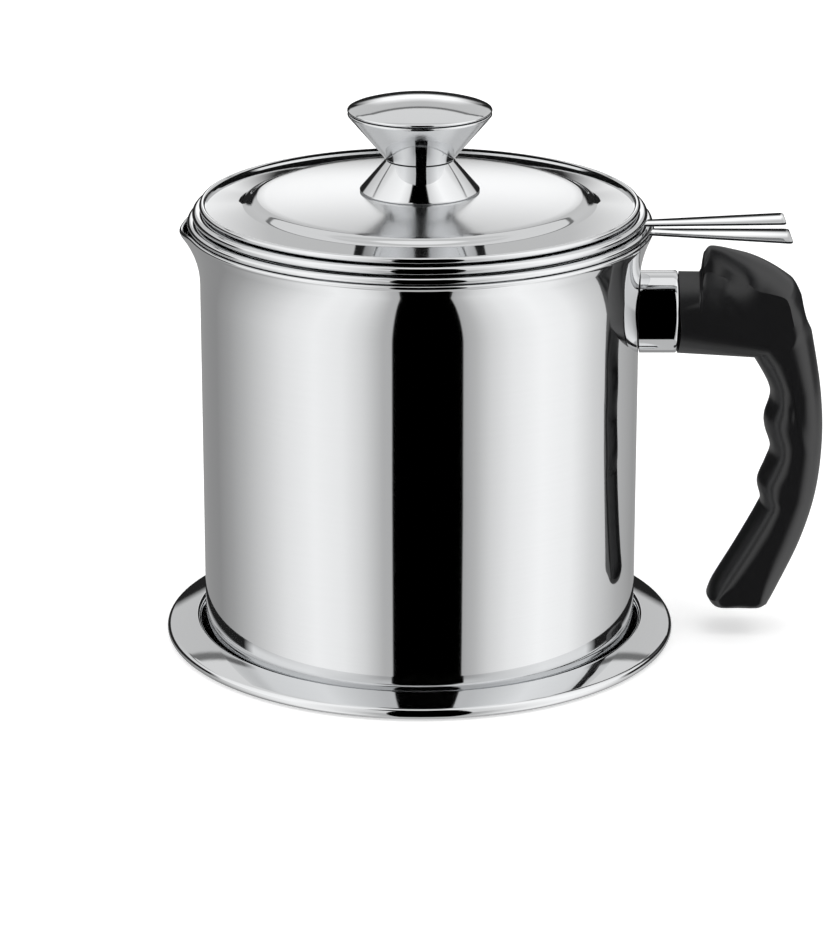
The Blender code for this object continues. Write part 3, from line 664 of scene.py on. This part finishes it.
def inside_cup(at, facing):
    """True on the inner wall and floor of a strainer's cup."""
    return at.z < 119.5 and (facing.z > 0.9 and at.xy.length < 56 or facing.x * at.x + facing.y * at.y < 0)


finished(
    "fine_strainer_drawn_cup",
    fine_cup,
    MIRROR_STEEL,
    "fine_strainer",
    "fine_strainer_cup",
    zones=[(SATIN_STEEL, inside_cup)],
)

# %% Clamp ring over the woven disc
ring = turned(
    (50.3, 86.25),
    [(53.7, 86.25), (53.7, 86.55, 90), (54.0, 86.85), (53.7, 86.85, 90), (50.3, 87.15), (50.3, 86.85, 90), (50.0, 86.55)],
)
finished("fine_strainer_clamp_ring", ring, MIRROR_STEEL, "fine_strainer", "fine_strainer_ring")

# %% [markdown]
# ## Woven wire
# Plain weave: each wire passes over one crossing wire and under the next. A strainer this fine has wires every
# 0.5 mm, which the picture can't show, so they are drawn every 1.8 mm. Each wire is one polyline with a small
# round section, and the curve is made a mesh at the end.

# %% Woven disc
WIRE_PITCH_MM = 1.8
WIRE_RADIUS_MM = 0.18
WEAVE_RADIUS_MM = 53.6
WEAVE_HEIGHT_MM = 85.75
weave = bpy.data.curves.new("weave_paths", "CURVE")
weave.dimensions = "3D"
weave.bevel_depth = WIRE_RADIUS_MM * MM
weave.bevel_resolution = 0
weave.use_fill_caps = True
wires = int(WEAVE_RADIUS_MM / WIRE_PITCH_MM)
for across in (0, 1):
    for i in range(-wires, wires + 1):
        offset = i * WIRE_PITCH_MM
        crossings = int(math.sqrt(WEAVE_RADIUS_MM**2 - offset**2) / WIRE_PITCH_MM)
        if crossings < 1:
            continue
        path = weave.splines.new("POLY")
        path.points.add(2 * crossings)
        for point, j in zip(path.points, range(-crossings, crossings + 1)):
            up = (-1) ** (i + j + across) * WIRE_RADIUS_MM
            flat = (j * WIRE_PITCH_MM, offset) if across else (offset, j * WIRE_PITCH_MM)
            point.co = (flat[0] * MM, flat[1] * MM, (WEAVE_HEIGHT_MM + up) * MM, 1)
weave_paths = bpy.data.objects.new("weave_paths", weave)
bpy.context.scene.collection.objects.link(weave_paths)
weave_bm = bmesh.new()
weave_mesh = bpy.data.meshes.new_from_object(weave_paths)
weave_bm.from_mesh(weave_mesh)
bpy.data.objects.remove(weave_paths)
bmesh.ops.recalc_face_normals(weave_bm, faces=weave_bm.faces)
finished(
    "fine_strainer_woven_wire",
    weave_bm,
    WIRE_STEEL,
    "fine_strainer",
    "fine_strainer_mesh",
    slot="satin_steel",
    sharp=80,
)

# %% Coarse strainer's cup
coarse_cup = turned(
    (0, 102.75),
    [
        (54.0, 102.75),
        (54.0, 104.35, 90),
        (56.5, 118.95),
        (57.3, 118.95, -90),
        (59.078, 119.75),
        (60.0, 119.15, 303.06),
        (57.3, 120.25),
        (57.3, 118.95, 90),
        (55.1, 104.35),
        (54.0, 104.35, -90),
        (0, 103.25),
    ],
)
coarse_piece = finished(
    "coarse_strainer_drawn_cup",
    coarse_cup,
    MIRROR_STEEL,
    "coarse_strainer",
    "coarse_strainer_cup",
    zones=[(SATIN_STEEL, inside_cup)],
)

# %% [markdown]
# ## Punching the floor
# The holes sit in rings 11 mm apart, six more in each ring, as a die would place them. One solid of round
# punches goes through the floor, and the Boolean is applied so that nothing of it is left.


# %% Punches
def cut_away(piece, tool_bm):
    """Takes a solid away from a finished piece for good."""
    tool_mesh = bpy.data.meshes.new("cutting_tool")
    tool_bm.to_mesh(tool_mesh)
    tool_bm.free()
    tool = bpy.data.objects.new("cutting_tool", tool_mesh)
    bpy.context.scene.collection.objects.link(tool)
    boolean = piece.modifiers.new("cut", "BOOLEAN")
    boolean.solver = "EXACT"
    boolean.object = tool
    bpy.context.view_layer.update()
    cut_mesh = bpy.data.meshes.new_from_object(piece.evaluated_get(bpy.context.evaluated_depsgraph_get()))
    piece.modifiers.clear()
    piece.data = cut_mesh
    bpy.data.objects.remove(tool)
    print(piece.name, "after the cut:", len(piece.data.polygons), "faces")


HOLE_RADIUS_MM = 1.7
HOLE_RING_MM = 11.0
punches = bmesh.new()
for ring_number in range(5):
    for i in range(max(1, 6 * ring_number)):
        turn_by = math.tau * i / max(1, 6 * ring_number)
        reach = ring_number * HOLE_RING_MM
        place = Vector((reach * math.cos(turn_by), reach * math.sin(turn_by), 103.0)) * MM
        bmesh.ops.create_cone(
            punches,
            cap_ends=True,
            segments=20,
            radius1=HOLE_RADIUS_MM * MM,
            radius2=HOLE_RADIUS_MM * MM,
            depth=2 * MM,
            matrix=Matrix.Translation(place),
        )
cut_away(coarse_piece, punches)

# %% [markdown]
# ## Lifting tabs
# Each strainer has a flat strip of 0.7 mm sheet welded to its rim, which widens towards the finger and has its
# corners rounded. A flat outline is extruded to the sheet's thickness and its edges are broken with a bevel.
# The press shears the strip off, so its edge is rough. The edge is also coloured near-black as painted shade, which
# draws a dark line beside the polished faces.


# %% Tabs
TAB_TURN = math.radians(-12)
TAB_LENGTH_MM = 35.8
TAB_SHEET_MM = 0.7


def on_cut_edge_painted_shade(at, facing):
    """True round the strip's edge, which gets the painted shade."""
    return abs(facing.z) < 0.6


def lifting_tab(name, root_mm, height_mm, end_mm, tilt_degrees, body, cad_node):
    """A strip from the rim outwards, wider at its end."""
    bm = bmesh.new()
    root, end = 2.7, end_mm / 2
    hollow = math.sqrt(root_mm**2 - root**2) - root_mm
    slant = 0.425 * end
    corners = [(hollow, -root), (TAB_LENGTH_MM + slant, -end), (TAB_LENGTH_MM, end), (hollow, root), (0, 0)]
    outline = [bm.verts.new((x * MM, y * MM, -TAB_SHEET_MM / 2 * MM)) for x, y in corners]
    face = bm.faces.new(outline)
    solid = bmesh.ops.extrude_face_region(bm, geom=[face])
    lifted = [v for v in solid["geom"] if isinstance(v, bmesh.types.BMVert)]
    bmesh.ops.translate(bm, verts=lifted, vec=(0, 0, TAB_SHEET_MM * MM))
    bmesh.ops.recalc_face_normals(bm, faces=bm.faces)
    upright = [
        e
        for e in bm.edges
        if abs(e.verts[0].co.z - e.verts[1].co.z) > MM / 10 and e.verts[0].co.x > TAB_LENGTH_MM * MM / 2
    ]
    bmesh.ops.bevel(
        bm, geom=upright, offset=1.3 * MM, affect="EDGES", segments=6, profile=0.5, material=-1
    )
    rims = [e for e in bm.edges if abs(e.verts[0].co.z - e.verts[1].co.z) < MM / 100 and e.calc_face_angle(0) > 1]
    bmesh.ops.bevel(bm, geom=rims, offset=0.16 * MM, affect="EDGES", segments=3, profile=0.5, material=-1)
    place = (
        Matrix.Rotation(TAB_TURN, 4, "Z")
        @ Matrix.Translation(Vector((root_mm, 0, height_mm)) * MM)
        @ Matrix.Rotation(math.radians(-tilt_degrees), 4, "Y")
    )
    bmesh.ops.transform(bm, matrix=place, verts=bm.verts)
    return finished(name, bm, MIRROR_STEEL, body, cad_node, sharp=50, zones=[(SHEARED_EDGE_PAINTED_SHADE, on_cut_edge_painted_shade)])


lifting_tab("fine_strainer_lifting_tab", 62.8, 116.8, 13.4, 1.4, "fine_strainer", "fine_strainer_tab")
lifting_tab("coarse_strainer_lifting_tab", 61.4, 119.15, 11.0, 5.0, "coarse_strainer", "coarse_strainer_tab")

# %% [markdown]
# ## The lid
# A low dome, close to a sphere of 595 mm radius, ends in a steep round shoulder, and a flange that falls a
# little outwards runs to the rolled edge that lies on the coarse strainer. At the back the shoulder and the
# flange mirror the dark low room, which draws the black crescent, and at the front they mirror its light. The
# dome is buffed softer than the rest, so nothing mirrors clearly in it.

# %% Lid
DOME_CENTRE_MM = (0, -474.9)
SHOULDER_CENTRE_MM = (43.131, 119.537)
FLANGE_CENTRE_MM = (48.057, 125.841)
lid = turned(
    (2.2, 125.096),
    [
        (*DOME_CENTRE_MM, -3.940),
        (*SHOULDER_CENTRE_MM, -33.85),
        (*FLANGE_CENTRE_MM, 33),
        (57.46, 121.003),
        (57.52, 121.47),
        (58.35, 121.4, -310),
        (57.40, 120.41),
        (47.656, 121.259),
        (*FLANGE_CENTRE_MM, -33),
        (*SHOULDER_CENTRE_MM, 33.85),
        (*DOME_CENTRE_MM, 3.940),
    ],
    steps=192,
)


def under_lid(at, facing):
    """True on the hollow side of the dome."""
    return facing.z < -0.5 and at.xy.length < 57


def on_dome(at, facing):
    """True on the dome as far as its shoulder, seen from above."""
    return facing.z > 0 and at.xy.length < 43.6


finished(
    "domed_lid", lid, MIRROR_STEEL, "lid", "lid_shell", zones=[(SATIN_STEEL, under_lid), (DOME_STEEL, on_dome)]
)

# %% [markdown]
# ## The knob
# Two cones stand neck to neck and a domed disc closes the upper one. They are spun on a lathe, so their finish
# is a little coarser than the pot's. The lips are turned over by less than half a millimetre, and those lips
# draw the thin bright rings.

# %% Knob
skirt = turned(
    (2.2, 133.42),
    [
        (8.95, 133.42),
        (8.95, 133.12, -49.9),
        (12.6, 129.4),
        (16.018, 125.475),
        (15.75, 125.25, -130.1),
        (15.3, 124.9),
        (11.8, 128.8),
        (8.4, 132.62),
        (2.2, 132.62),
    ],
    steps=96,
)
finished("knob_lower_cone", skirt, KNOB_STEEL, "lid", "knob_skirt")
bowl = turned(
    (2.2, 133.72),
    [
        (9.0, 133.72),
        (9.0, 134.02, 49.4),
        (14.2, 139.73),
        (19.19, 145.577),
        (18.85, 145.87, 130.6),
        (18.5, 146.32),
        (13.4, 140.3),
        (8.4, 134.52),
        (2.2, 134.52),
    ],
    steps=96,
)
finished("knob_upper_cone", bowl, KNOB_STEEL, "lid", "knob_bowl")
cap = turned(
    (0, 150.52),
    [
        (0, 90.72, -18.0),
        (19.2, 147.25),
        (18.98, 146.94, -100),
        (17.7, 146.62),
        (0, 98.27, 20.1),
        (0, 149.82),
    ],
    steps=96,
)
finished("knob_domed_cap", cap, KNOB_STEEL, "lid", "knob_cap")

# %% [markdown]
# ## The ferrule
# A bright oval sleeve hides the weld between pot and grip. Its section is an oval in the plane across the
# handle, and copies of it are bridged along the handle. The end at the pot is cut to the curve of the wall.

# %% Ferrule
HANDLE_AXIS_MM = 91.0
FERRULE_END_MM = 69.6


def section_loop(bm, inset_mm):
    """A closed oval in the plane across the handle, drawn in by so much. Gives its edges."""
    before = set(bm.edges)
    oval = bmesh.ops.create_circle(bm, segments=72, radius=MM)["verts"]
    bmesh.ops.scale(bm, vec=(9.0 - inset_mm, 11.35 - inset_mm, 1), verts=oval)
    stand_up = Matrix(((0, 0, 1, 0), (1, 0, 0, 0), (0, 1, 0, HANDLE_AXIS_MM * MM), (0, 0, 0, 1)))
    bmesh.ops.transform(bm, matrix=stand_up, verts=oval)
    return [e for e in bm.edges if e not in before]


def wall_curve(y, radius_mm):
    """How far out the pot's wall is at this distance from the handle's middle plane."""
    return math.sqrt((radius_mm * MM) ** 2 - y**2)


ferrule = bmesh.new()
loops = []
for inset_mm, x_mm in ((0, None), (0, 68.2), (0, 69.1), (0.12, 69.42), (0.4, 69.6), (0.8, 69.6), (0.8, None)):
    edges = section_loop(ferrule, inset_mm)
    for corner in {v for e in edges for v in e.verts}:
        corner.co.x = wall_curve(corner.co.y, 59.6) if x_mm is None else x_mm * MM
    loops.append(edges)
for near, far in zip(loops, loops[1:] + loops[:1]):
    bmesh.ops.bridge_loops(ferrule, edges=near + far)
bmesh.ops.recalc_face_normals(ferrule, faces=ferrule.faces)
finished("bright_ferrule", ferrule, MIRROR_STEEL, "pot", "handle_ferrule")

# %% [markdown]
# ## The grip
# The grip is one moulding: a flat thumb rest on top that ends in a tip, a rounded back, and two finger swells
# inside. Its side view is known from the picture, so the outline is run through a few points of it. A loop of
# edges along that outline is extruded towards one flank again and again, each time drawn in towards the grip's
# middle line, as a rounding plane would take the edge off. The second half is its mirror.

# %% Grip outline in side view
GRIP_START_MM = 69.9
GRIP_FOOT_MM = 6.6
GRIP_REACH_MM = 40.6
GRIP_HEIGHT_MM = 100.6
EDGE_ROUND_MM = 8.5
# Each row is a place along the reach and up the height, then how deep the edge is rounded and how far it turns:
# one turns right over into the flank, and less leaves a crease, as round the thumb rest.
OUTLINE_RUNS = (
    ((0.137, 0.951, 0.95, 1.0), (0.155, 0.966, 0.6, 0.8), (0.160, 0.988, 0.42, 0.62), (0.166, 1.005, 0.42, 0.62)),
    (
        (0.166, 1.005, 0.42, 0.62),
        (0.192, 1.019, 0.44, 0.62),
        (0.216, 1.023, 0.48, 0.62),
        (0.264, 1.021, 0.55, 0.62),
        (0.331, 1.015, 0.61, 0.62),
        (0.480, 0.998, 0.74, 0.62),
        (0.614, 0.973, 0.74, 0.62),
        (0.740, 0.939, 0.50, 0.64),
        (0.783, 0.920, 0.52, 0.70),
        (0.819, 0.891, 0.62, 0.80),
        (0.863, 0.846, 0.74, 0.92),
        (0.906, 0.774, 0.86, 1.0),
        (0.972, 0.620, 0.95, 1.0),
        (0.992, 0.478, 0.95, 1.0),
        (0.958, 0.332, 0.93, 1.0),
        (0.862, 0.192, 0.85, 1.0),
        (0.716, 0.060, 0.60, 1.0),
        (0.655, 0.014, 0.40, 1.0),
    ),
    (
        (0.655, 0.014, 0.40, 1.0),
        (0.590, 0.002, 0.34, 1.0),
        (0.440, 0.000, 0.32, 1.0),
        (0.290, 0.005, 0.32, 1.0),
        (0.240, 0.028, 0.36, 1.0),
    ),
    (
        (0.240, 0.028, 0.36, 1.0),
        (0.280, 0.074, 0.50, 1.0),
        (0.424, 0.178, 0.62, 1.0),
        (0.562, 0.283, 0.66, 1.0),
        (0.586, 0.312, 0.66, 1.0),
        (0.562, 0.360, 0.68, 1.0),
        (0.606, 0.410, 0.70, 1.0),
        (0.643, 0.458, 0.70, 1.0),
        (0.603, 0.513, 0.72, 1.0),
        (0.597, 0.550, 0.74, 1.0),
        (0.633, 0.604, 0.75, 1.0),
        (0.606, 0.650, 0.76, 1.0),
        (0.500, 0.724, 0.85, 1.0),
    ),
)
MIDDLE_LINE = (
    (0.00, 0.84),
    (0.42, 0.83),
    (0.70, 0.75),
    (0.80, 0.62),
    (0.81, 0.47),
    (0.77, 0.33),
    (0.63, 0.17),
    (0.46, 0.065),
)


def side_view(x_share, z_share):
    """A point in side view in millimetres."""
    return Vector((GRIP_START_MM + x_share * GRIP_REACH_MM, GRIP_FOOT_MM + z_share * GRIP_HEIGHT_MM))


def through(rows, steps):
    """A smooth run through some rows, with this many steps between two of them."""
    padded = [rows[0], *rows, rows[-1]]
    run = []
    for a, b, c, d in zip(padded, padded[1:], padded[2:], padded[3:]):
        for i in range(steps):
            t = i / steps
            run.append(
                [
                    (2 * q + (r - p) * t + (2 * p - 5 * q + 4 * r - s) * t**2 + (3 * q - p - 3 * r + s) * t**3) / 2
                    for p, q, r, s in zip(a, b, c, d)
                ]
            )
    return run


outline = [(Vector((GRIP_START_MM, HANDLE_AXIS_MM + 11.35)), 9.0, math.pi / 2)]
for run in OUTLINE_RUNS:
    outline += [(side_view(x, z), edge * EDGE_ROUND_MM, arc * math.pi / 2) for x, z, edge, arc in through(run, 7)]
outline.append((Vector((GRIP_START_MM, HANDLE_AXIS_MM - 11.35)), 9.0, math.pi / 2))
print("grip outline:", len(outline), "points")

# %% Grip solid
ROUNDING_STEPS = 12
FLANK_STEPS = 5
middle = [side_view(*share) for share in MIDDLE_LINE]


def to_middle(point):
    """The shortest way from a point of the outline to the grip's middle line."""
    ways = []
    for a, b in zip(middle, middle[1:]):
        share = (point - a).dot(b - a) / (b - a).length_squared
        ways.append(a.lerp(b, min(max(share, 0), 1)) - point)
    return min(ways, key=lambda way: way.length)


def eased(value, none, all_of_it):
    """A share that goes gently from nothing to all of it."""
    share = min(max((value - none) / (all_of_it - none), 0), 1)
    return share * share * (3 - 2 * share)


def half_width(at):
    """Half the grip's width: it grows outwards and upwards, is pinched at the nose and steps in behind a line."""
    width = 8.0 + 1.25 * (at.x - GRIP_START_MM) / GRIP_REACH_MM + 1.2 * (at.y - GRIP_FOOT_MM) / GRIP_HEIGHT_MM
    rise = min(max((at.y - HANDLE_AXIS_MM) / 11.35, 0), 1)
    nose = eased(at.x, 92, 77) * (1 - max(0.35, math.sqrt(1 - rise**2)))
    behind_line = (at.x - 82.5) * 0.867 + (at.y - 93.5) * 0.497
    return width * (1 - nose) - 0.5 * eased(behind_line, 0, 3)


grip = bmesh.new()
ring = [grip.verts.new(Vector((place.x, 0, place.y)) * MM) for place, edge, turn_by in outline]
edges = [grip.edges.new(pair) for pair in zip(ring, ring[1:] + ring[:1])]
for i in range(1, ROUNDING_STEPS + FLANK_STEPS + 1):
    round_share = min(i / ROUNDING_STEPS, 1)
    flank_share = max(i - ROUNDING_STEPS, 0) / FLANK_STEPS
    grown = bmesh.ops.extrude_edge_only(grip, edges=edges)["geom"]
    edges = [e for e in grown if isinstance(e, bmesh.types.BMEdge)]
    follow = {}
    for old in ring:
        follow[old] = next(e.other_vert(old) for e in old.link_edges if e.other_vert(old) in grown)
    ring = [follow[old] for old in ring]
    for corner, (place, edge, turn_by) in zip(ring, outline):
        way = to_middle(place)
        reach = min(edge, 0.8 * way.length) * (1 - math.cos(turn_by * round_share)) / (1 - math.cos(turn_by))
        reach += (0.88 * way.length - reach) * flank_share
        at = place + way.normalized() * reach
        corner.co = Vector((at.x, -half_width(at) * math.sin(turn_by * round_share) / math.sin(turn_by), at.y)) * MM
bmesh.ops.contextual_create(grip, geom=[e for e in edges if e.is_boundary])
bmesh.ops.mirror(grip, geom=grip.verts[:] + grip.edges[:] + grip.faces[:], axis="Y", merge_dist=MM / 1000)
bmesh.ops.remove_doubles(grip, verts=grip.verts, dist=MM / 1000)
bmesh.ops.recalc_face_normals(grip, faces=grip.faces)
grip_piece = finished(
    "moulded_grip", grip, GRIP_PHENOLIC, "pot", "handle_grip", slot="black_phenolic", sharp=25
)

# %% [markdown]
# ## Screws and washers
# One long screw holds the grip, sunk in a counterbore in its back, and a short one holds the knob from under the
# lid. Both have a pan head with a cross recess. A head is turned as all the rest is, and a cross of two bars is
# cut into it.

# %% Counterbore, screws and washers
HEAD_MM = 2.4


def along_handle(bm, start_mm):
    """Lays a piece made along +Z so that its foot points out of the grip."""
    lay = Matrix.Translation(Vector((start_mm, 0, HANDLE_AXIS_MM)) * MM) @ Matrix.Rotation(-math.pi / 2, 4, "Y")
    bmesh.ops.transform(bm, matrix=lay, verts=bm.verts)
    return bm


def pan_screw(shank_mm):
    """A pan head below zero and its shank above."""
    return turned(
        (0, -HEAD_MM),
        [(2.2, -HEAD_MM), (2.2, -0.8, 75), (3.8, 0), (1.9, 0), (1.9, shank_mm - 0.5), (1.4, shank_mm), (0, shank_mm)],
        steps=48,
    )


def under_knob(bm):
    """Lifts a piece made along +Z to its place under the lid."""
    bmesh.ops.translate(bm, vec=(0, 0, 123.01 * MM), verts=bm.verts)
    return bm


def cut_cross(screw, placed):
    """Cuts two crossed bars into the head's face, one after the other."""
    for size in ((3.6, 0.7), (0.7, 3.6)):
        bm = bmesh.new()
        bar = bmesh.ops.create_cube(bm, size=1.0)["verts"]
        bmesh.ops.scale(bm, vec=Vector((*size, 2.4)) * MM, verts=bar)
        bmesh.ops.translate(bm, vec=(0, 0, -HEAD_MM * MM), verts=bar)
        cut_away(screw, placed(bm))


cut_away(grip_piece, along_handle(turned((0, -14.5), [(5.0, -14.5), (5.0, 0), (0, 0)], steps=48), 95.5))

washer = turned((2.2, 0), [(4.5, 0), (4.5, 0.2, 90), (4.7, 0.6), (4.5, 0.6, 90), (2.2, 0.8)], steps=64)
finished(
    "handle_flat_washer", along_handle(washer, 96.6), TURNED_STEEL, "pot", "handle_washer", slot="satin_steel"
)
handle_screw = finished(
    "handle_pan_screw", along_handle(pan_screw(36.0), 96.9), TURNED_STEEL, "pot", "handle_screw", slot="satin_steel"
)
cut_cross(handle_screw, lambda bm: along_handle(bm, 96.9))

knob_washer = turned((2.2, 123.31), [(6.3, 123.31), (6.3, 123.51, 90), (6.5, 123.91), (6.3, 123.91, 90), (2.2, 124.11)], 64)
finished("knob_flat_washer", knob_washer, TURNED_STEEL, "lid", "knob_washer")
knob_screw = finished("knob_pan_screw", under_knob(pan_screw(16.81)), TURNED_STEEL, "lid", "knob_screw")
cut_cross(knob_screw, under_knob)

# %% [markdown]
# ## Pieces kept from the frame
# The weld plate, the boss and the nut are closed in by the ferrule and the knob. Their CAD shapes are right as
# they are, so they only get the finish of turned and pressed steel.

# %% Finish for the kept CAD nodes
for kept in ("handle_weld_plate", "handle_boss", "knob_nut"):
    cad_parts[kept].data.materials.clear()
    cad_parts[kept].data.materials.append(TURNED_STEEL)
print("kept:", [name for name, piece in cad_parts.items() if not piece.hide_render])
